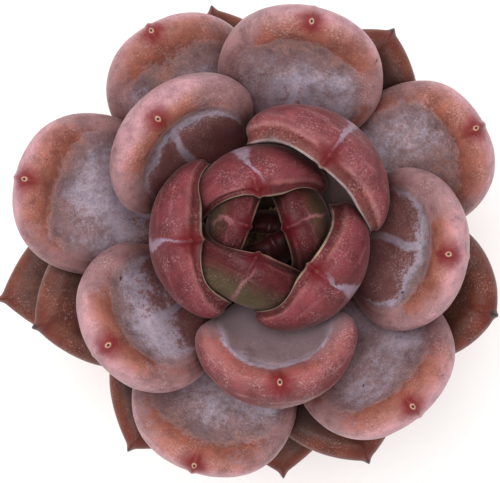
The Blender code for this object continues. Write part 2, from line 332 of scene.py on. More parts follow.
def fine_ball():
    """Directions, edges and triangles of a sphere, denser towards +X, a leaf's tip."""
    shape = bmesh.new()
    bmesh.ops.create_uvsphere(shape, u_segments=LEAF_AROUND, v_segments=LEAF_RINGS, radius=1)
    bmesh.ops.triangulate(shape, faces=shape.faces)
    directions = np.array([v.co for v in shape.verts])
    edges = np.array([[v.index for v in e.verts] for e in shape.edges])
    faces = np.array([[v.index for v in f.verts] for f in shape.faces])
    shape.free()
    turn = np.arctan2(directions[:, 1], directions[:, 0])
    turn = turn - TIP_GATHER * np.sin(turn)
    flat = np.hypot(directions[:, 0], directions[:, 1])
    directions[:, 0] = flat * np.cos(turn)
    directions[:, 1] = flat * np.sin(turn)
    return Ball(directions, edges, faces)


def centreline(rank, leaf, foot):
    """Points and elevations along a leaf's middle, as arrays (along, r, z, elevation)."""
    along = np.linspace(0, 1.06, CENTRELINE_STEPS + 1)
    bend = stage_value(CURL, rank) * (along - 1 / 2)
    turn_up = smooth((along - CURL_START) / (1 - CURL_START))
    curl = stage_value(TIP_CURL, rank) * (turn_up - CURL_EASE)
    elevation = np.radians(leaf.rise + bend + curl)
    middle = (elevation[1:] + elevation[:-1]) / 2
    step = leaf.length * MM * (along[1] - along[0])
    r = foot[0] + np.concatenate(([0], np.cumsum(np.cos(middle)) * step))
    z = foot[1] + np.concatenate(([0], np.cumsum(np.sin(middle)) * step))
    return along, r, z, elevation


OVERHANG_FADE = 7 * MM
BLOOM_AT = 8 * MM
COVERED_AT = 16 * MM

Form = namedtuple("Form", "along across height from_margin from_rim from_tip")


def leaf_form(rank, leaf, directions, foot_half):
    """Places on a leaf before it is bent, and how far each is from the margin and tip."""
    x, y, z = directions.T
    ring = np.clip(np.hypot(x, y), 0, 1)
    turn = np.arctan2(y, x)
    widest = stage_value(WIDEST, rank)
    half = leaf.width * MM / 2
    cos, sin = np.cos(turn), np.sin(turn)
    to_tip = cos > 0
    edge_along = widest + np.where(to_tip, 1 - widest, widest) * cos
    foot_share = foot_half / half
    taper = foot_share + (1 - foot_share) * smooth(edge_along / widest) ** TAPER_POWER
    power = np.where(to_tip, stage_value(TIP_POWER, rank), 1)
    edge_across = half * np.sign(sin) * np.abs(sin) ** power * np.where(to_tip, 1, taper)
    point = stage_value(POINT_LENGTH, rank) / leaf.length
    point_width = stage_value(POINT_WIDTH, rank) * MM
    edge_along = edge_along + np.where(to_tip, point * np.exp(-((edge_across / point_width) ** 2)), 0)
    along = widest + (edge_along - widest) * ring
    across = edge_across * ring
    spoke = np.hypot((edge_along - widest) * leaf.length * MM, edge_across)
    inward = (1 - ring) * spoke
    full = smooth(FOOT_FILL + (1 - FOOT_FILL) * along / widest)
    thick = (FOOT_THICKNESS + (stage_value(THICKNESS, rank) - FOOT_THICKNESS) * full) * MM
    share = stage_value(EDGE_SHARE, rank)
    rounding = stage_value(EDGE_ROUND, rank)
    band_width = stage_value(EDGE_BAND, rank) * MM
    band = np.clip(inward / band_width, 0, 1)
    hang = stage_value(OVERHANG, rank) * MM * smooth(band)
    hang = np.where(z >= 0, hang * smooth(1 - (inward - band_width) / OVERHANG_FADE), 0)
    wider = 1 + hang / spoke
    along = widest + (along - widest) * wider
    across = across * wider
    upper = thick * share * (1 - (1 - band) ** rounding) ** (1 / rounding)
    depth = np.clip(inward / spoke, 0, 1)
    lower = -thick * (1 - share) * (1 - (1 - depth) ** BACK_ROUND) ** (1 / BACK_ROUND)
    height = np.where(z >= 0, upper, lower)
    ahead = (1 + point - along) * leaf.length * MM
    tip = np.sqrt(ahead**2 + across**2 + height**2)
    # Towards the foot the margin is taken to run on straight, so that the bands stay open.
    base = np.clip(1 - along / widest, 0, 1)
    taper_here = foot_share + (1 - foot_share) * smooth(1 - base) ** TAPER_POWER
    half_here = half * np.sqrt(np.clip(1 - base**2, 0, 1)) * taper_here + 1e-6
    aside = np.clip(np.abs(across) / half_here, 0, 1)
    open_inward = (1 - aside) * (half + base * widest * leaf.length * MM)
    inward = np.where(to_tip, inward, open_inward)
    full_height = thick * share
    on_band = band < 1
    over = np.hypot(np.minimum(inward, band_width), upper) + np.maximum(inward - band_width, 0)
    # Away from the margin the bands run square across the leaf, and sink under its neighbours.
    down = (1 - along) * leaf.length * MM
    over = over + (np.maximum(down, over) - over) * smooth((over - 2 * MM) / (6 * MM))
    deep = (COVERED_AT - BLOOM_AT) / (stage_value(COVERED, rank) * MM - BLOOM_AT)
    over = np.where(over > BLOOM_AT, BLOOM_AT + (over - BLOOM_AT) * deep, over)
    margin = np.where(z >= 0, over, -np.hypot(inward, lower))
    rim = np.where(on_band, upper - full_height, inward - band_width)
    return Form(along, across, height, margin, np.where(z >= 0, rim, -full_height), tip)


def leaf_azimuth(rank, leaf):
    """Degrees from +X to a leaf's middle."""
    return FIRST_AZIMUTH - GOLDEN_ANGLE * rank + leaf.nudge


def leaf_points(rank, leaf, form, foot):
    """World points of a leaf's surface, and the way its upper side faces at each."""
    stations, line_r, line_z, line_e = centreline(rank, leaf, foot)
    r = np.interp(form.along, stations, line_r)
    z = np.interp(form.along, stations, line_z)
    elevation = np.interp(form.along, stations, line_e)
    wrap = math.radians(stage_value(CUP, rank)) / (leaf.width * MM / 2)
    wrap = wrap * (WRAP_START + (1 - WRAP_START) * smooth(form.along / WRAP_FULL))
    turn = form.across * wrap
    side = (1 / wrap - form.height) * np.sin(turn)
    rise = 1 / wrap - (1 / wrap - form.height) * np.cos(turn)
    normal_r, normal_z = -np.sin(elevation), np.cos(elevation)
    flat = np.column_stack((r + rise * normal_r, side, z + rise * normal_z))
    facing = np.column_stack((np.cos(turn) * normal_r, -np.sin(turn), np.cos(turn) * normal_z))
    azimuth = math.radians(leaf_azimuth(rank, leaf))
    c, s = math.cos(azimuth), math.sin(azimuth)
    spin = np.array(((c, -s, 0), (s, c, 0), (0, 0, 1)))
    place = np.array((stem_middle.x, stem_middle.y, 0))
    return flat @ spin.T + place, facing @ spin.T


ball = fine_ball()
print("leaf mesh:", len(ball.directions), "points,", len(ball.faces), "triangles")

# %% [markdown]
# ## Leaves press on each other
# In the bud the leaves lie packed, and each keeps the dents that its neighbours made. A
# sculpting brush could draw the dents by hand. Here each leaf is made after the ones inside
# it, and a ray from behind every point finds how far that point has to give way. The sides
# of a dent run out evenly, and a few rounds of averaging take off its sharp corners.

# %% Pressing
CLEARANCE = 0.25 * MM
KEPT_THICKNESS = 0.62  # share of its thickness that a pressed leaf keeps
PRESS_SLOPE = 0.5
PRESS_REACH = 26 * MM
PRESS_LOOK = 15 * MM
PRESS_STEPS = 60
SOFTEN_STEPS = 12


def overlap(rank, points, facing, height, inner):
    """How far places on a leaf have to move back to be clear of the leaves inside it."""
    back_share = 1 - stage_value(EDGE_SHARE, rank)
    need = np.zeros(len(points))
    for i, way in enumerate(facing):
        start = points[i] - way * (PRESS_REACH + height[i])
        hit = inner.ray_cast(Vector(start), Vector(way), PRESS_REACH + PRESS_LOOK)
        if hit[0] is None:
            continue
        room = hit[3] - PRESS_REACH - CLEARANCE
        if height[i] < 0:
            room -= KEPT_THICKNESS * abs(height[i]) / back_share
        need[i] = max(0, height[i] - room)
    return need


def pressed(rank, points, facing, height, inner):
    """A leaf's points, moved back until they are clear, and how far each one moved."""
    need = overlap(rank, points, facing, height, inner)
    push = need.copy()
    a, b = ball.edges.T
    drop = np.linalg.norm(points[a] - points[b], axis=1) * PRESS_SLOPE
    for _ in range(PRESS_STEPS):
        np.maximum.at(push, a, push[b] - drop)
        np.maximum.at(push, b, push[a] - drop)
    count = np.bincount(ball.edges.ravel(), minlength=len(push))
    for _ in range(SOFTEN_STEPS):
        total = np.bincount(a, push[b], len(push)) + np.bincount(b, push[a], len(push))
        push = np.maximum(need, (push + total / count) / 2)
    return points - facing * push[:, None], push


# %% [markdown]
# ## The fine leaves
# Every leaf gets a slight unevenness, as grown things have, from smooth noise with two
# sizes of bump. Its mesh also carries four measures in millimetres, which the skin's
# pattern follows: how far a place is inside the margin (below nothing on the back), how far
# it is from the tip, how far from the middle line, and how far from the upper side's edge.

# %% Grow the rosette
SWELL = ((9.0, 0.28), (2.6, 0.05))  # size and height of the bumps, in millimetres
LEAF_NODE = "leaf_{:02d}"
FINE_NODE = "rosette_leaf_{:02d}"


def uneven(points, facing, rank):
    """Points moved in and out along their facing by smooth noise."""
    move = np.zeros(len(points))
    for size, amount in SWELL:
        scale = per(size)
        shift = Vector((rank * 7.3, size, 0))
        move += [noise.noise(Vector(p) * scale + shift) * amount * MM for p in points]
    return points + facing * move[:, None]


def leaf_mesh(rank, points, form):
    """A leaf's mesh with its measures as attributes."""
    mesh = bpy.data.meshes.new(FINE_NODE.format(rank + 1))
    mesh.from_pydata(points.tolist(), [], ball.faces.tolist())
    mesh.shade_smooth()
    measures = (
        ("from_margin", form.from_margin),
        ("from_rim", form.from_rim),
        ("from_tip", form.from_tip),
        ("from_middle", form.across),
    )
    for name, values in measures:
        layer = mesh.attributes.new(name, "FLOAT", "POINT")
        layer.data.foreach_set("value", (values / MM).astype(np.float32))
    return mesh


leaf_objects = []
all_points, all_faces = [], []
for rank, leaf in enumerate(LEAVES):
    foot = leaf_foot(rank)
    form = leaf_form(rank, leaf, ball.directions, BASE_SHARE * foot[0])
    points, facing = leaf_points(rank, leaf, form, foot)
    points = uneven(points, facing, rank)
    deepest = 0
    if all_points:
        inner = BVHTree.FromPolygons(all_points, all_faces)
        points, push = pressed(rank, points, facing, form.height, inner)
        deepest = push.max() / MM
    all_faces += (ball.faces + len(all_points)).tolist()
    all_points += points.tolist()
    made = in_scene(FINE_NODE.format(rank + 1), leaf_mesh(rank, points, form))
    leaf_objects.append(made)
    print(made.name, "dent", round(deepest, 1), "mm")

# %% [markdown]
# ## Where the light never comes
# Deep between the leaves the skin gets painted shade, dark and wine red. How shut in a place
# is can be felt out with rays: from each point a few go out over it, and the share that meets
# another leaf close by is kept with the mesh, smoothed, as one more measure.

# %% How shut in each place is
LOOK_OUT = 9 * MM
LOOKS = 9
LOOK_SLANT = 55.0  # degrees off the surface's normal
LOOK_TURN = 2.4  # radians from one point's cone to the next one's
LIFT_OFF = 0.05 * MM
SETTLE_STEPS = 6


def looks_out(normal, turn):
    """Directions round a normal: one straight out and the rest on a slanted cone."""
    first = normal.orthogonal().normalized()
    second = normal.cross(first)
    c, s = math.cos(math.radians(LOOK_SLANT)), math.sin(math.radians(LOOK_SLANT))
    ways = [normal]
    for i in range(LOOKS - 1):
        a = turn + math.tau * i / (LOOKS - 1)
        ways.append(normal * c + (first * math.cos(a) + second * math.sin(a)) * s)
    return ways


rosette = BVHTree.FromPolygons(all_points, all_faces)
neighbours = np.bincount(ball.edges.ravel(), minlength=len(ball.directions))
for made in leaf_objects:
    shut = np.zeros(len(made.data.vertices))
    for vertex in made.data.vertices:
        start = vertex.co + vertex.normal * LIFT_OFF
        ways = looks_out(vertex.normal, vertex.index * LOOK_TURN)
        shut[vertex.index] = sum(rosette.ray_cast(start, way, LOOK_OUT)[0] is not None for way in ways)
    shut /= LOOKS
    a, b = ball.edges.T
    for _ in range(SETTLE_STEPS):
        total = np.bincount(a, shut[b], len(shut)) + np.bincount(b, shut[a], len(shut))
        shut = (shut + total / neighbours) / 2
    layer = made.data.attributes.new("shut_in", "FLOAT", "POINT")
    layer.data.foreach_set("value", shut.astype(np.float32))
print("looks:", LOOKS * len(ball.directions) * len(leaf_objects))

# %% [markdown]
# ## Leaf skin
# The skin is a living wax: a red or brown flesh, dulled by a grey bloom that rubs off. On a
# broad leaf the bloom covers the middle, the flesh shows orange near the margin, and pale
# lines mark where the neighbours' edges lay in the bud. Painting an image would fix one
# leaf; a colour ramp that runs across the margin, read from the mesh's measures and made
# ragged with noise, suits every leaf. A little light goes through the flesh, so the skin
# has some subsurface, and the wax gives it a soft sheen.

# %% The skin's recipe
SECTION_LOW, SECTION_HIGH = -14.0, 22.0  # millimetres inside the margin that a ramp covers

Skin = namedtuple(
    "Skin",
    "section rim face face_bloom keel keel_width tip tip_reach blotch point specks shade imprint"
    " wax scratch",
)


def across_margin(stops):
    """A ramp's stops from (millimetres inside the margin, hex colour) pairs."""
    reach = SECTION_HIGH - SECTION_LOW
    return [((place - SECTION_LOW) / reach, code) for place, code in stops]


def leaf_skin(name, skin):
    """A waxy leaf skin."""
    made, tree = blank(name)
    margin = add(tree, "Attribute", attribute_name="from_margin").outputs["Fac"]
    tip = add(tree, "Attribute", attribute_name="from_tip").outputs["Fac"]
    middle = add(tree, "Attribute", attribute_name="from_middle").outputs["Fac"]
    rim = add(tree, "Attribute", attribute_name="from_rim").outputs["Fac"]
    place = add(tree, "TexCoord").outputs["Object"]

    # The bands' borders wander over 12 mm, are torn over 1 mm, and run in streaks round
    # the leaf as the wax does where it is rubbed.
    round_leaf = add(tree, "Math", {0: middle, 1: 0.12}, operation="MULTIPLY")
    streak_place = add(tree, "CombineXYZ", {"X": round_leaf, "Y": margin, "Z": rim})
    streak = add(tree, "TexNoise", {
        "Vector": streak_place, "Scale": 0.9, "Detail": 5, "Roughness": 0.7,
    })
    drift = add(tree, "TexNoise", {"Vector": place, "Scale": per(12), "Detail": 1})
    torn = add(tree, "TexNoise", {"Vector": place, "Scale": per(1.4), "Detail": 8, "Roughness": 0.85})
    drift_mm = add(tree, "MapRange", {
        "Value": drift, "From Min": 0.3, "From Max": 0.7, "To Min": -2.5, "To Max": 2.5,
    })
    torn_mm = add(tree, "MapRange", {
        "Value": torn, "From Min": 0.25, "From Max": 0.75, "To Min": -4.5, "To Max": 4.5,
    })
    both = add(tree, "Math", {0: drift_mm, 1: torn_mm}, operation="ADD")
    calm = add(tree, "MapRange", {
        "Value": margin, "From Min": 0.5, "From Max": 8, "To Min": 0.12, "To Max": 1,
    })
    section = add(tree, "Math", {0: both, 1: calm, 2: margin}, operation="MULTIPLY_ADD")
    along_ramp = add(tree, "MapRange", {
        "Value": section, "From Min": SECTION_LOW, "From Max": SECTION_HIGH,
    })
    ramp = add(tree, "ValToRGB", {0: along_ramp})
    paint_ramp(ramp, across_margin(skin.section))
    colour = ramp.outputs[0]

    # The wax is whole again at the sides and in patches.
    if skin.wax:
        aside = add(tree, "Math", {0: middle}, operation="ABSOLUTE")
        patch = add(tree, "Math", {0: drift_mm, 1: 2.2, 2: aside}, operation="MULTIPLY_ADD")
        patch_torn = add(tree, "Math", {0: torn_mm, 1: 1.6, 2: patch}, operation="MULTIPLY_ADD")
        waxed = add(tree, "MapRange", {
            "Value": patch_torn, "From Min": 8, "From Max": 15, "To Min": 0, "To Max": 0.8,
        }, interpolation_type="SMOOTHSTEP")
        in_band = add(tree, "MapRange", {
            "Value": section, "From Min": 12, "From Max": 7, "To Min": 0, "To Max": 1,
        })
        wax_there = add(tree, "Math", {0: waxed, 1: in_band}, operation="MULTIPLY")
        whole = add(tree, "Mix", {0: wax_there, 6: colour, 7: rgb(skin.wax)}, data_type="RGBA")
        colour = whole.outputs[2]
    streaks = add(tree, "MapRange", {
        "Value": streak, "From Min": 0.54, "From Max": 0.7, "To Min": 0, "To Max": 0.3,
    })
    near_margin = add(tree, "MapRange", {
        "Value": margin, "From Min": 2.5, "From Max": 0.5, "To Min": 0, "To Max": 1,
    })
    streak_there = add(tree, "Math", {0: streaks, 1: near_margin}, operation="MULTIPLY")
    streaked = add(tree, "Mix", {0: streak_there, 6: colour, 7: rgb(skin.scratch)}, data_type="RGBA")
    colour = streaked.outputs[2]

    # The upper side of a young leaf, and the pale line round it.
    if skin.rim:
        face_tint = add(tree, "ValToRGB", {0: torn})
        paint_ramp(face_tint, ((0.4, skin.face), (0.56, skin.face_bloom)))
        on_face = add(tree, "MapRange", {
            "Value": rim, "From Min": 0.2, "From Max": 0.6,
        }, interpolation_type="SMOOTHSTEP")
        face = add(tree, "Mix", {0: on_face, 6: colour, 7: face_tint}, data_type="RGBA")
        off_rim = add(tree, "Math", {0: rim, 1: 0.12}, operation="ADD")
        off_rim = add(tree, "Math", {0: off_rim}, operation="ABSOLUTE")
        on_rim = add(tree, "MapRange", {
            "Value": off_rim, "From Min": 0.25, "From Max": 0.6, "To Min": 0.75, "To Max": 0,
        }, interpolation_type="SMOOTHSTEP")
        line = add(tree, "Mix", {0: on_rim, 6: face.outputs[2], 7: rgb(skin.rim)}, data_type="RGBA")
        colour = line.outputs[2]

    # The pale keel down the back widens towards the foot.
    bent = add(tree, "Math", {0: drift_mm, 1: 0.6, 2: middle}, operation="MULTIPLY_ADD")
    wander = add(tree, "Math", {0: torn_mm, 1: 0.1, 2: bent}, operation="MULTIPLY_ADD")
    if skin.keel:
        off_keel = add(tree, "Math", {0: wander}, operation="ABSOLUTE")
        keel_width = add(tree, "MapRange", {
            "Value": section, "From Min": -13, "From Max": -5, "To Min": skin.keel_width, "To Max": 0.3,
        })
        keel_share = add(tree, "Math", {0: off_keel, 1: keel_width}, operation="DIVIDE")
        on_keel = add(tree, "MapRange", {
            "Value": keel_share, "From Min": 0.4, "From Max": 1.2, "To Min": 0.5, "To Max": 0,
        }, interpolation_type="SMOOTHSTEP")
        on_back = add(tree, "MapRange", {
            "Value": margin, "From Min": -1.2, "From Max": -0.4, "To Min": 1, "To Max": 0,
        })
        keel_there = add(tree, "Math", {0: on_keel, 1: on_back}, operation="MULTIPLY")
        keel = add(tree, "Mix", {0: keel_there, 6: colour, 7: rgb(skin.keel)}, data_type="RGBA")
        colour = keel.outputs[2]

    # On a broad leaf a pale branch runs in from the bloom, where two neighbours met.
    if skin.imprint:
        off_branch = add(tree, "Math", {0: wander, 1: -1.5}, operation="ADD")
        off_branch = add(tree, "Math", {0: off_branch}, operation="ABSOLUTE")
        on_branch = add(tree, "MapRange", {
            "Value": off_branch, "From Min": 0.5, "From Max": 1.3, "To Min": 0.8, "To Max": 0,
        }, interpolation_type="SMOOTHSTEP")
        inside_bloom = add(tree, "MapRange", {"Value": section, "From Min": 13, "From Max": 14.5})
        branch_there = add(tree, "Math", {0: on_branch, 1: inside_bloom}, operation="MULTIPLY")
        branch = add(tree, "Mix", {0: branch_there, 6: colour, 7: rgb(skin.imprint)}, data_type="RGBA")
        colour = branch.outputs[2]

    # Clouds of thinner and thicker wax, some 3 mm across.
    cloud = add(tree, "TexNoise", {"Vector": place, "Scale": per(3.5), "Detail": 5, "Roughness": 0.65})
    cloud_tone = add(tree, "ValToRGB", {0: cloud})
    paint_ramp(cloud_tone, ((0.34, "988e90"), (0.5, "bcbcbc"), (0.68, "d8cecd")))
    clouded = add(tree, "Mix", {
        0: 0.75, 6: colour, 7: cloud_tone,
    }, data_type="RGBA", blend_type="OVERLAY")
    colour = clouded.outputs[2]

    # Specks: fine pale flecks of wax and fine dark ones, drawn a little coarse to show.
    fleck_noise = add(tree, "TexNoise", {
        "Vector": place, "Scale": per(0.4), "Detail": 4, "Roughness": 0.7,
    })
    fleck = add(tree, "MapRange", {
        "Value": fleck_noise, "From Min": 0.52, "From Max": 0.66, "To Min": 0, "To Max": skin.specks,
    })
    cluster_noise = add(tree, "TexNoise", {"Vector": place, "Scale": per(5), "Detail": 2})
    cluster = add(tree, "MapRange", {
        "Value": cluster_noise, "From Min": 0.42, "From Max": 0.62, "To Min": 0.15, "To Max": 1,
    })
    fleck_there = add(tree, "Math", {0: fleck, 1: cluster}, operation="MULTIPLY")
    pore = add(tree, "MapRange", {
        "Value": fleck_noise, "From Min": 0.44, "From Max": 0.3, "To Min": 0, "To Max": skin.specks,
    })
    pale = add(tree, "Mix", {0: fleck_there, 6: colour, 7: rgb("cdaaa8")}, data_type="RGBA")
    dark = add(tree, "Mix", {0: pore, 6: pale.outputs[2], 7: rgb("4a2224")}, data_type="RGBA")

    # Larger dark pores, one or two to a square centimetre at most.
    pores = add(tree, "TexVoronoi", {"Vector": place, "Scale": per(8)})
    pore_size = add(tree, "Math", {
        0: torn_mm, 1: 0.02, 2: pores.outputs["Distance"],
    }, operation="MULTIPLY_ADD")
    in_pore = add(tree, "MapRange", {
        "Value": pore_size, "From Min": 0.03, "From Max": 0.055, "To Min": 0.85, "To Max": 0,
    })
    pored = add(tree, "Mix", {0: in_pore, 6: dark.outputs[2], 7: rgb("2c1214")}, data_type="RGBA")

    # A red blotch round the tip, and the horny point itself with its dark middle.
    away = add(tree, "Math", {0: torn_mm, 1: 0.18, 2: tip}, operation="MULTIPLY_ADD")
    near_tip = add(tree, "MapRange", {
        "Value": away, "From Min": 1.3, "From Max": skin.tip_reach, "To Min": 0.88, "To Max": 0,
    }, interpolation_type="SMOOTHSTEP")
    red = add(tree, "Mix", {0: near_tip, 6: pored.outputs[2], 7: rgb(skin.blotch)}, data_type="RGBA")
    at_point = add(tree, "MapRange", {
        "Value": tip, "From Min": skin.point * 0.7, "From Max": skin.point, "To Min": 1, "To Max": 0,
    })
    point = add(tree, "Mix", {0: at_point, 6: red.outputs[2], 7: rgb(skin.tip)}, data_type="RGBA")
    at_pith = add(tree, "MapRange", {
        "Value": tip, "From Min": skin.point * 0.4, "From Max": skin.point * 0.6, "To Min": 1,
        "To Max": 0,
    })
    pith = add(tree, "Mix", {0: at_pith, 6: point.outputs[2], 7: rgb("3a1c18")}, data_type="RGBA")

    # Painted shade for places that no light reaches: wine red, or lavender on a leaf that is paler.
    shut_in = add(tree, "Attribute", attribute_name="shut_in").outputs["Fac"]
    in_dark = add(tree, "MapRange", {
        "Value": shut_in, "From Min": 0.12, "From Max": 0.72, "To Min": 0, "To Max": 0.92,
    })
    shaded = add(tree, "Mix", {0: in_dark, 6: pith.outputs[2], 7: rgb(skin.shade)}, data_type="RGBA")

    dull = add(tree, "MapRange", {
        "Value": section, "From Min": 6, "From Max": 9, "To Min": 0.45, "To Max": 0.62,
    })
    wax = add(tree, "Bump", {"Height": fleck_noise, "Strength": 0.5, "Distance": 0.06 * MM})
    torn_wax = add(tree, "Bump", {
        "Height": torn, "Strength": 0.5, "Distance": 0.15 * MM, "Normal": wax,
    })
    shader = add(tree, "BsdfPrincipled", {
        "Base Color": shaded.outputs[2], "Roughness": dull, "Normal": torn_wax,
        "Subsurface Weight": 0.12, "Subsurface Radius": (1.0, 0.35, 0.25), "Subsurface Scale": 1.5 * MM,
        "Specular IOR Level": 0.25, "Sheen Weight": 0.15, "Sheen Roughness": 0.3,
        "Sheen Tint": rgb("e9b9b6"),
    })
    add(tree, "OutputMaterial", {"Surface": shader})
    return made


# %% [markdown]
# Six skins follow the rosette outwards. In the heart the leaves stand up and show their
# crimson backs, olive towards the foot, with a thin line where the upper side begins; these
# colours are painted darker in part, as shade deep in the bud. The inner leaves are alike but
# rose. Two between the bud and the open leaves have skins of their own: one shows more of its
# pale upper side, and one is folded over. The broad outer leaves show their upper sides. The
# lowest leaves are brown; their darkness, deepest at the tips, is painted shade from the leaves
# above.

# %% Six skins
# Its crimson and olive are painted darker in part, as shade deep in the bud; the lighter stop at -0.1 mm
# is a painted highlight along the ridge.
heart_skin = Skin(
    section=((-14, "474a2b"), (-8, "4a4629"), (-5.5, "463022"), (-3.4, "470f14"), (-0.6, "480810"),
             (-0.1, "6f3236"), (0.7, "3c0a0e"), (2.5, "401014"), (6, "48382a"), (22, "3a3824")),
    rim="96705f", face="44422a", face_bloom="545034", keel="9c626c", keel_width=0.5,
    tip="7c4038", tip_reach=4.2, blotch="4c0210", point=0.35, specks=0.2,
    shade="1e0c0a", imprint="", wax="", scratch="8c5056",
)
# The lighter stops from -0.35 to 0.1 mm are a painted highlight along the ridge.
inner_skin = Skin(
    section=((-14, "46191e"), (-8, "5c2429"), (-3, "6c2d33"), (-1, "77363c"), (-0.35, "8c5255"),
             (0.1, "8a504c"), (0.7, "56191d"), (3.0, "5a2224"), (6, "62503c"), (22, "54503a")),
    rim="b0a088", face="5e5640", face_bloom="7a6e5c", keel="a79bb0", keel_width=2.1,
    tip="84463f", tip_reach=4.8, blotch="5e0610", point=0.45, specks=0.36,
    shade="2e1010", imprint="", wax="", scratch="a06c72",
)
# The lighter stops from -0.3 to 0.1 mm are a painted highlight along the ridge.
turning_skin = inner_skin._replace(
    section=((-14, "4a2024"), (-8, "602a30"), (-3, "70343a"), (-1, "7d4144"), (-0.3, "965f62"),
             (0.1, "8e5854"), (0.7, "642826"), (3.0, "6c3c38"), (6, "9a8894"), (22, "84747c")),
    rim="a89a98", face="8a7c76", face_bloom="a598a0", scratch="b58a90", shade="5a4442",
)
outer_skin = Skin(
    section=((-14, "5c3433"), (-8, "85585c"), (-4, "a87a82"), (-1.5, "b2868c"), (0.2, "9c6862"),
             (1.6, "8f584b"), (5.2, "884f41"), (6.5, "a07a74"), (7.8, "806465"), (9.5, "7e6466"),
             (11.4, "8e7c84"), (14.2, "a59bab"), (15.4, "7f5d5d"), (17.5, "6c4645")),
    rim="", face="", face_bloom="", keel="", keel_width=1,
    tip="b98f78", tip_reach=4.6, blotch="6c0a12", point=0.8, specks=0.46,
    shade="431f1e", imprint="a59bab", wax="8a6a6e", scratch="d0a8ae",
)
folded_skin = outer_skin._replace(
    section=((-14, "40161a"), (-8, "5a2327"), (-3.5, "682e31"), (-1, "7d4446"), (0.6, "8c504e"),
             (2.4, "884c47"), (4.6, "8c5654"), (6.0, "b2a2b0"), (7.6, "aea2b4"), (9.0, "947c86"),
             (11, "a08e98"), (14, "80696c"), (22, "6a5250")),
    imprint="", wax="", shade="8a757c",
)
# The lower leaves' browns are painted darker as shade from the leaves above, and their near-black tips
# are painted shade too.
lower_skin = Skin(
    section=((-14, "3c1f1b"), (-4, "512d26"), (-0.8, "63342a"), (0.4, "683224"), (4, "5d2e20"),
             (9, "4f2a1f"), (14, "42221a"), (22, "361a17")),
    rim="", face="", face_bloom="", keel="", keel_width=1,
    tip="1d1819", tip_reach=6.0, blotch="5a1c12", point=1.3, specks=0.3,
    shade="28100b", imprint="", wax="5e3b33", scratch="94685e",
)
skins = {
    "leaf_heart": leaf_skin("waxy_heart_leaf", heart_skin),
    "leaf_inner": leaf_skin("waxy_inner_leaf", inner_skin),
    "turning": leaf_skin("waxy_turning_leaf", turning_skin),
    "folded": leaf_skin("bloomed_folded_leaf", folded_skin),
    "leaf_outer": leaf_skin("bloomed_outer_leaf", outer_skin),
    "leaf_lower": leaf_skin("shade_darkened_lower_leaf", lower_skin),
}
SLOT_STARTS = ((0, "leaf_heart"), (5, "leaf_inner"), (10, "leaf_outer"), (19, "leaf_lower"))
OWN_SKIN = {8: "turning", 9: "folded"}  # the two between the bud and the open leaves

for rank, made in enumerate(leaf_objects):
    slot = [name for start, name in SLOT_STARTS if start <= rank][-1]
    made.data.materials.append(skins[OWN_SKIN.get(rank, slot)])
    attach(made, BODY)
    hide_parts(LEAF_NODE.format(rank + 1))
print("skins:", len(skins), "on", len(leaf_objects), "leaves")

# %% [markdown]
# ## The pot
# A plain clay flower pot, thrown or pressed and fired without glaze. A Screw modifier could
# turn its outline; a short function that turns it straight into a mesh gives the same
# closed shell and leaves room for the faint rings that a thrower's fingers leave.

# %% Pot
POT_STEPS = 144
RIM_BAND = 16 * MM
BODY_TOP_DIAMETER = 65 * MM
BASE_DIAMETER = 48 * MM
WALL = 4 * MM
FLOOR = 5 * MM
HOLE_DIAMETER = 9 * MM
POT_EDGE = 1.2 * MM
FOOT_EDGE = 1.5 * MM
RING_PITCH = 3.1 * MM
RING_HEIGHT = 0.09 * MM

pot_low, pot_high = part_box("pot")
pot_height = pot_high[2]
rim_radius = (pot_high[0] - pot_low[0]) / 2


def turned(name, outline, steps, middle=(0, 0)):
    """A mesh turned from (r, z) points, outer side downwards. A point on the axis is one vertex."""
    mesh = bpy.data.meshes.new(name)
    shape = bmesh.new()
    rings = []
    for r, z in outline:
        if r < 1e-6:
            rings.append([shape.verts.new((middle[0], middle[1], z))])
            continue
        turns = [math.tau * i / steps for i in range(steps)]
        flat = [(middle[0] + r * math.cos(t), middle[1] + r * math.sin(t)) for t in turns]
        rings.append([shape.verts.new((x, y, z)) for x, y in flat])
    closed = len(rings[0]) > 1
    pairs = list(zip(rings, rings[1:])) + ([(rings[-1], rings[0])] if closed else [])
    for upper, lower in pairs:
        for i in range(steps):
            corners = [upper[i % len(upper)], lower[i % len(lower)]]
            corners += [lower[(i + 1) % len(lower)], upper[(i + 1) % len(upper)]]
            shape.faces.new(dict.fromkeys(corners))
    bmesh.ops.recalc_face_normals(shape, faces=shape.faces)
    shape.to_mesh(mesh)
    shape.free()
    mesh.shade_smooth()
    return mesh


def corner(place, radius, start, end, steps=8):
    """Points of a rounding about a centre (r, z), from one angle to another."""
    r, z = place
    turns = [math.radians(start + (end - start) * i / steps) for i in range(steps + 1)]
    return [(r + radius * math.cos(t), z + radius * math.sin(t)) for t in turns]


def side(start, end, steps):
    """Points between two (r, z) places, ends left out."""
    shares = [i / steps for i in range(1, steps)]
    return [tuple(a + (b - a) * share for a, b in zip(start, end)) for share in shares]


def inner_radius(height):
    """Radius of the pot's inner face at a height."""
    low = BASE_DIAMETER / 2 - WALL
    high = BODY_TOP_DIAMETER / 2 - WALL
    return low + (high - low) * (height - FLOOR) / (pot_height - FLOOR)


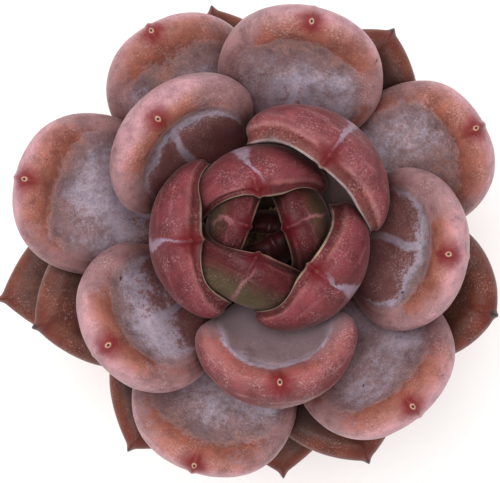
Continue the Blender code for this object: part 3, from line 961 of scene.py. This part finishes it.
e, f = POT_EDGE, FOOT_EDGE
band_foot = pot_height - RIM_BAND
inner_foot = BASE_DIAMETER / 2 - WALL
body_top = (BODY_TOP_DIAMETER / 2, band_foot)
outer_foot = (BASE_DIAMETER / 2, f)
pot_outline = corner((rim_radius - e, pot_height - e), e, 90, 0)
pot_outline += side((rim_radius, pot_height - e), (rim_radius, band_foot + e), 20)
pot_outline += corner((rim_radius - e, band_foot + e), e, 0, -90)
pot_outline += [(body_top[0] + 0.4 * MM, band_foot), body_top]
pot_outline += side(body_top, outer_foot, 56)
pot_outline += corner((BASE_DIAMETER / 2 - f, f), f, 0, -90)
pot_outline += [(HOLE_DIAMETER / 2 + 1 * MM, 0), (HOLE_DIAMETER / 2, 0.8 * MM)]
pot_outline += [(HOLE_DIAMETER / 2, FLOOR - 0.8 * MM), (HOLE_DIAMETER / 2 + 0.8 * MM, FLOOR)]
pot_outline += [(inner_foot - f, FLOOR), (inner_foot - 0.4 * f, FLOOR + 0.4 * f), (inner_foot, FLOOR + f)]
inside_low = (inner_foot, FLOOR + f)
inside_high = (inner_radius(pot_height - e), pot_height - e)
pot_outline += side(inside_low, inside_high, 24) + [inside_high]
pot_outline += [(inside_high[0] + 0.35 * e, pot_height - 0.35 * e), (inside_high[0] + e, pot_height)]

pot_rings = []
for r, z in pot_outline:
    on_body = r > inner_radius(z) + WALL / 2 and f < z < band_foot - 1 * MM
    throw = RING_HEIGHT * (math.sin(math.tau * z / RING_PITCH) - 1) if on_body else 0
    pot_rings.append((r + throw, z))
pot = in_scene("clay_pot", turned("clay_pot", pot_rings, POT_STEPS))
print("pot:", len(pot.data.polygons), "faces, rim", round(2 * rim_radius / MM, 1), "mm")

# %% [markdown]
# Unglazed terracotta is a dry, porous red clay. It scatters light evenly, so it is rough
# with no gloss. Water that seeps through leaves chalky salts, mostly low on the wall, and
# the body shows fine sand and darker specks.

# %% Terracotta
clay, tree = blank("fired_terracotta")
place = add(tree, "TexCoord").outputs["Object"]
cloud = add(tree, "TexNoise", {"Vector": place, "Scale": per(14), "Detail": 5, "Roughness": 0.6})
tint = add(tree, "ValToRGB", {0: cloud})
paint_ramp(tint, ((0.3, "9c5036"), (0.5, "b4654a"), (0.7, "c68064")))
salt_noise = add(tree, "TexNoise", {"Vector": place, "Scale": per(5), "Detail": 8, "Roughness": 0.7})
height = add(tree, "SeparateXYZ", {0: place}).outputs["Z"]
low_down = add(tree, "MapRange", {
    "Value": height, "From Min": 2 * MM, "From Max": 50 * MM, "To Min": 0.56, "To Max": 0.36,
})
salt = add(tree, "Math", {0: salt_noise, 1: low_down}, operation="ADD")
salted = add(tree, "MapRange", {
    "Value": salt, "From Min": 0.98, "From Max": 1.24, "To Min": 0, "To Max": 0.5,
})
chalky = add(tree, "Mix", {0: salted, 6: tint, 7: rgb("dccabb")}, data_type="RGBA")
sand = add(tree, "TexVoronoi", {"Vector": place, "Scale": per(0.9)})
sandy = add(tree, "MapRange", {
    "Value": sand.outputs["Distance"], "From Min": 0.1, "From Max": 0.24, "To Min": 0.35, "To Max": 0,
})
speckled = add(tree, "Mix", {0: sandy, 6: chalky.outputs[2], 7: rgb("7c3b28")}, data_type="RGBA")
grain = add(tree, "TexNoise", {"Vector": place, "Scale": per(0.6), "Detail": 4, "Roughness": 0.7})
rough_clay = add(tree, "Bump", {"Height": grain, "Strength": 0.6, "Distance": 0.12 * MM})
pitted = add(tree, "Bump", {
    "Height": sand.outputs["Distance"], "Strength": 0.3, "Distance": 0.15 * MM, "Normal": rough_clay,
})
shader = add(tree, "BsdfPrincipled", {
    "Base Color": speckled.outputs[2], "Roughness": 0.9, "Specular IOR Level": 0.3, "Normal": pitted,
})
add(tree, "OutputMaterial", {"Surface": shader})
pot.data.materials.append(clay)
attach(pot, BODY)
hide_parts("pot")

# %% [markdown]
# ## The stem
# A short corky stem carries the leaves. Where old leaves have dropped, it is ringed with
# scars. The outline comes from the same rule as the leaves' feet; the scars are a ripple
# of three spirals one way and five the other, as the rows of leaves run.

# %% Stem
STEM_STEPS = 72
STEM_ROOT_RADIUS = 5 * MM
MIX_BELOW_RIM = 5 * MM
MIX_CROWN = 2 * MM
SCAR_DEPTH = 0.35 * MM
SCAR_PITCH = 2.4 * MM

mix_shoulder = pot_height - MIX_BELOW_RIM
mix_crown = mix_shoulder + MIX_CROWN
tip_radius = STEM_TIP * STEM_TOP_RADIUS
stem_outline = [(0, stem_high.z), (tip_radius * 0.6, stem_high.z - 0.2 * tip_radius)]
stem_outline += [(tip_radius, leafy_foot + STEM_LEAFY + 0.5 * tip_radius)]
for level in np.linspace(STEM_LEAFY, 0, 24):
    stem_outline.append((stem_radius(level), leafy_foot + level))
stem_outline += side((stem_widest, leafy_foot), (stem_widest, mix_crown), 18)
stem_outline += [(stem_widest, mix_crown), (stem_widest, mix_crown - 6.5 * MM)]
stem_outline += [(STEM_ROOT_RADIUS, stem_low.z), (0, stem_low.z)]
stem_mesh = turned("corky_stem", stem_outline, STEM_STEPS, (stem_middle.x, stem_middle.y))
for vertex in stem_mesh.vertices:
    out = Vector((vertex.co.x - stem_middle.x, vertex.co.y - stem_middle.y, 0))
    if out.length < 1 * MM or vertex.co.z < mix_crown - 7 * MM:
        continue
    turn = math.atan2(out.y, out.x)
    rows = (vertex.co.z - stem_low.z) / SCAR_PITCH
    scar = math.sin(math.tau * rows + 3 * turn) * math.sin(math.tau * rows * 0.6 - 5 * turn)
    rough = noise.noise(vertex.co * per(1.8))
    vertex.co -= out.normalized() * SCAR_DEPTH * (0.9 - 0.6 * scar - 0.5 * rough)
stem = in_scene("corky_stem", stem_mesh)
print("stem:", round((stem_high.z - stem_low.z) / MM, 1), "mm long")

# %% [markdown]
# Bark on such a stem is a thin dry cork: straw to brown, dull, with fine cracks round it.

# %% Bark
bark, tree = blank("dry_stem_cork")
place = add(tree, "TexCoord").outputs["Object"]
flat_place = add(tree, "Mapping", {"Vector": place, "Scale": (1, 1, 3.5)})
cork = add(tree, "TexNoise", {"Vector": flat_place, "Scale": per(2.2), "Detail": 6, "Roughness": 0.65})
cork_tint = add(tree, "ValToRGB", {0: cork})
paint_ramp(cork_tint, ((0.3, "4c3524"), (0.48, "856444"), (0.7, "b59a74")))
cork_bump = add(tree, "Bump", {"Height": cork, "Strength": 0.8, "Distance": 0.3 * MM})
shader = add(tree, "BsdfPrincipled", {"Base Color": cork_tint, "Roughness": 0.85, "Normal": cork_bump})
add(tree, "OutputMaterial", {"Surface": shader})
stem.data.materials.append(bark)
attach(stem, BODY)
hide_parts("stem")

# %% [markdown]
# ## The potting mix
# Succulents stand in gritty compost. The body of the mix is a turned plug with an uneven
# top. The loose grit on it repeats the same thing hundreds of times, so Geometry Nodes
# strew it: points on the top face, and on each point a small stone, turned and scaled.

# %% Body of the mix
MIX_STEPS = 120
MESH_THICKNESS = 0.8 * MM
CLUMP = 0.5 * MM

mix_floor = FLOOR + MESH_THICKNESS + 2 * GAP
wall_radius = inner_radius(mix_shoulder) - GAP
foot_radius = inner_radius(mix_floor) - GAP
top_edge = (wall_radius, mix_shoulder)
mix_outline = [(0, mix_crown)] + side((0, mix_crown), top_edge, 40) + [top_edge]
mix_outline += [(foot_radius, mix_floor + FOOT_EDGE), (foot_radius - FOOT_EDGE, mix_floor)]
mix_outline += [(0, mix_floor)]
mix_mesh = turned("gritty_mix", mix_outline, MIX_STEPS)
for vertex in mix_mesh.vertices:
    if vertex.co.z > mix_shoulder - 0.5 * MM:
        clump = noise.noise(vertex.co * per(4)) + 0.6 * noise.noise(vertex.co * per(1.3))
        vertex.co.z += CLUMP * (clump - 0.8)
print("mix:", len(mix_mesh.polygons), "faces")


# %% Grit
GRIT_SPACING = 0.9 * MM
GRIT_SIZE = 1.5 * MM
GRIT_SEED = 5



def shaping_tree(name, inputs):
    """A new Geometry Nodes tree with (name, kind of value) inputs, and its input node."""
    made = bpy.data.node_groups.new(name, "GeometryNodeTree")
    for socket_name, kind in (("Geometry", "Geometry"), *inputs):
        made.interface.new_socket(socket_name, in_out="INPUT", socket_type="NodeSocket" + kind)
    made.interface.new_socket("Geometry", in_out="OUTPUT", socket_type="NodeSocketGeometry")
    return made, add(made, "NodeGroupInput")


grit_inputs = [("Spacing", "Float"), ("Stone Size", "Float"), ("Top Level", "Float")]
grit_inputs += [("Seed", "Int"), ("Stone", "Material")]
grit_tree, group_in = shaping_tree("strewn_grit", grit_inputs)
position = add(grit_tree, "GeometryNodeInputPosition")
level = add(grit_tree, "SeparateXYZ", {0: position})
on_top = add(grit_tree, "FunctionNodeCompare", {
    0: level.outputs["Z"], 1: group_in.outputs["Top Level"],
}, data_type="FLOAT", operation="GREATER_THAN")
strew = add(grit_tree, "GeometryNodeDistributePointsOnFaces", {
    "Mesh": group_in.outputs["Geometry"], "Selection": on_top,
    "Distance Min": group_in.outputs["Spacing"], "Density Max": 1.2e6, "Seed": group_in.outputs["Seed"],
}, distribute_method="POISSON")
stone = add(grit_tree, "GeometryNodeMeshIcoSphere", {"Radius": 0.5, "Subdivisions": 2})
bend_noise = add(grit_tree, "TexNoise", {"Vector": position, "Scale": 1.6, "Detail": 1})
bend = add(grit_tree, "VectorMath", {
    0: bend_noise.outputs["Color"], 1: (0.5, 0.5, 0.5),
}, operation="SUBTRACT")
chipped = add(grit_tree, "GeometryNodeSetPosition", {"Geometry": stone.outputs["Mesh"], "Offset": bend})
turn = add(grit_tree, "FunctionNodeRandomValue", {
    1: (math.tau, math.tau, math.tau), "Seed": group_in.outputs["Seed"],
}, data_type="FLOAT_VECTOR")
stretch = add(grit_tree, "FunctionNodeRandomValue", {
    0: (0.45, 0.4, 0.3), 1: (1.2, 1.0, 0.75), "Seed": group_in.outputs["Seed"],
}, data_type="FLOAT_VECTOR")
sized = add(grit_tree, "VectorMath", {
    0: stretch, "Scale": group_in.outputs["Stone Size"],
}, operation="SCALE")
placed = add(grit_tree, "GeometryNodeInstanceOnPoints", {
    "Points": strew.outputs["Points"], "Instance": chipped, "Rotation": turn, "Scale": sized,
})
real = add(grit_tree, "GeometryNodeRealizeInstances", {0: placed})
dressed = add(grit_tree, "GeometryNodeSetMaterial", {
    "Geometry": real, "Material": group_in.outputs["Stone"],
})
add(grit_tree, "NodeGroupOutput", {0: dressed})
print("grit tree:", len(grit_tree.nodes), "nodes")

# %% [markdown]
# Grit for succulents is a mix of pumice, lava and bark: pale, rust-brown and near-black
# grains. A cell pattern a little larger than one grain gives each grain its own tone.

# %% Grit and compost finishes
pumice, tree = blank("crushed_pumice_and_lava")
place = add(tree, "TexCoord").outputs["Object"]
cells = add(tree, "TexVoronoi", {"Vector": place, "Scale": per(2.0)})
cell_tone = add(tree, "SeparateXYZ", {0: cells.outputs["Color"]})
grain_tint = add(tree, "ValToRGB", {0: cell_tone})
grain_tint.color_ramp.interpolation = "CONSTANT"
grains = ((0, "2e241d"), (0.3, "5a4334"), (0.5, "7a5a44"), (0.66, "a8967e"), (0.84, "c9c0b0"))
paint_ramp(grain_tint, grains)
pits = add(tree, "TexNoise", {"Vector": place, "Scale": per(0.4), "Detail": 4, "Roughness": 0.7})
pit_bump = add(tree, "Bump", {"Height": pits, "Strength": 0.7, "Distance": 0.12 * MM})
shader = add(tree, "BsdfPrincipled", {"Base Color": grain_tint, "Roughness": 0.92, "Normal": pit_bump})
add(tree, "OutputMaterial", {"Surface": shader})

compost, tree = blank("dark_bark_compost")
place = add(tree, "TexCoord").outputs["Object"]
crumbs = add(tree, "TexNoise", {"Vector": place, "Scale": per(1.1), "Detail": 6, "Roughness": 0.7})
crumb_tint = add(tree, "ValToRGB", {0: crumbs})
paint_ramp(crumb_tint, ((0.35, "1d1511"), (0.55, "382a20"), (0.75, "5e4937")))
crumb_bump = add(tree, "Bump", {"Height": crumbs, "Strength": 1, "Distance": 0.5 * MM})
shader = add(tree, "BsdfPrincipled", {
    "Base Color": crumb_tint, "Roughness": 0.95, "Normal": crumb_bump,
})
add(tree, "OutputMaterial", {"Surface": shader})
mix_mesh.materials.append(compost)
mix = in_scene("gritty_mix", mix_mesh)


# %% Strew the grit
def grown(maker, tree, values):
    """The plain mesh that a Geometry Nodes tree makes on an object."""
    modifier = maker.modifiers.new(tree.name, "NODES")
    modifier.node_group = tree
    for item in tree.interface.items_tree:
        if item.in_out == "INPUT" and item.name in values:
            modifier[item.identifier] = values[item.name]
    ready = maker.evaluated_get(bpy.context.evaluated_depsgraph_get())
    mesh = bpy.data.meshes.new_from_object(ready)
    maker.modifiers.remove(modifier)
    return mesh


grit_values = {
    "Spacing": GRIT_SPACING,
    "Stone Size": GRIT_SIZE,
    "Top Level": mix_shoulder - 1.2 * MM,
    "Seed": GRIT_SEED,
    "Stone": pumice,
}
grit_mesh = grown(mix, grit_tree, grit_values)
grit_mesh.name = "loose_grit"
grit = in_scene("loose_grit", grit_mesh)
for made in (mix, grit):
    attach(made, BODY)
    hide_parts("potting_mix")
print("grit:", len(grit_mesh.polygons), "triangles")

# %% [markdown]
# ## The drain mesh
# A disc of plastic mesh covers the hole, so that water runs out and grit stays in. Cutting
# holes out of a disc is slow and leaves ragged edges. Here Geometry Nodes take a grid,
# keep the part inside a circle, turn its edges into strands and add a ring round it.

# %% Drain mesh
MESH_DIAMETER = 22 * MM
MESH_PITCH = 2.0 * MM
disc_low, disc_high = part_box("drain_mesh")
disc_level = (disc_low[2] + disc_high[2]) / 2

net_inputs = [(socket_name, "Float") for socket_name in ("Radius", "Pitch", "Strand", "Level")]
net_tree, group_in = shaping_tree("drain_net", net_inputs + [("Plastic", "Material")])
across = add(net_tree, "Math", {0: group_in.outputs["Radius"], 1: 2.0}, operation="MULTIPLY")
count = add(net_tree, "Math", {0: across, 1: group_in.outputs["Pitch"]}, operation="DIVIDE")
points = add(net_tree, "Math", {0: count, 1: 1.0}, operation="ADD")
grid = add(net_tree, "GeometryNodeMeshGrid", {
    "Size X": across, "Size Y": across, "Vertices X": points, "Vertices Y": points,
})
position = add(net_tree, "GeometryNodeInputPosition")
reach = add(net_tree, "VectorMath", {0: position}, operation="LENGTH")
outside = add(net_tree, "FunctionNodeCompare", {
    0: reach.outputs["Value"], 1: group_in.outputs["Radius"],
}, data_type="FLOAT", operation="GREATER_THAN")
kept = add(net_tree, "GeometryNodeDeleteGeometry", {
    "Geometry": grid.outputs["Mesh"], "Selection": outside,
})
strand_lines = add(net_tree, "GeometryNodeMeshToCurve", {"Mesh": kept})
ring_radius = add(net_tree, "Math", {
    0: group_in.outputs["Radius"], 1: group_in.outputs["Strand"],
}, operation="SUBTRACT")
ring = add(net_tree, "GeometryNodeCurvePrimitiveCircle", {"Resolution": 64, "Radius": ring_radius})
all_lines = add(net_tree, "GeometryNodeJoinGeometry", {0: strand_lines})
net_tree.links.new(ring.outputs[0], all_lines.inputs[0])
strand_half = add(net_tree, "Math", {0: group_in.outputs["Strand"], 1: 0.5}, operation="MULTIPLY")
section = add(net_tree, "GeometryNodeCurvePrimitiveCircle", {"Resolution": 10, "Radius": strand_half})
strands = add(net_tree, "GeometryNodeCurveToMesh", {
    "Curve": all_lines, "Profile Curve": section, "Fill Caps": True,
})
lift = add(net_tree, "CombineXYZ", {"Z": group_in.outputs["Level"]})
lifted = add(net_tree, "GeometryNodeSetPosition", {"Geometry": strands, "Offset": lift})
real = add(net_tree, "GeometryNodeRealizeInstances", {0: lifted})
dressed = add(net_tree, "GeometryNodeSetMaterial", {
    "Geometry": real, "Material": group_in.outputs["Plastic"],
})
add(net_tree, "NodeGroupOutput", {0: dressed})

plastic, tree = blank("moulded_black_polythene")
place = add(tree, "TexCoord").outputs["Object"]
dust = add(tree, "TexNoise", {"Vector": place, "Scale": per(1.5), "Detail": 4})
dust_tint = add(tree, "ValToRGB", {0: dust})
paint_ramp(dust_tint, ((0.45, "1b1b1c"), (0.7, "3a342e")))
shader = add(tree, "BsdfPrincipled", {"Base Color": dust_tint, "Roughness": 0.5, "IOR": 1.5})
add(tree, "OutputMaterial", {"Surface": shader})

seed_mesh = bpy.data.meshes.new("net_seed")
net_maker = in_scene("net_maker", seed_mesh)
net_values = {
    "Radius": MESH_DIAMETER / 2,
    "Pitch": MESH_PITCH,
    "Strand": MESH_THICKNESS,
    "Level": disc_level,
    "Plastic": plastic,
}
net_mesh = grown(net_maker, net_tree, net_values)
bpy.data.objects.remove(net_maker, do_unlink=True)
net = in_scene("drain_net", net_mesh)
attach(net, BODY)
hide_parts("drain_mesh")
print("drain net:", len(net_mesh.polygons), "faces")

# %% [markdown]
# ## The end
# The finished surface has to stay the size of the frame.

# %% The end
print("done")
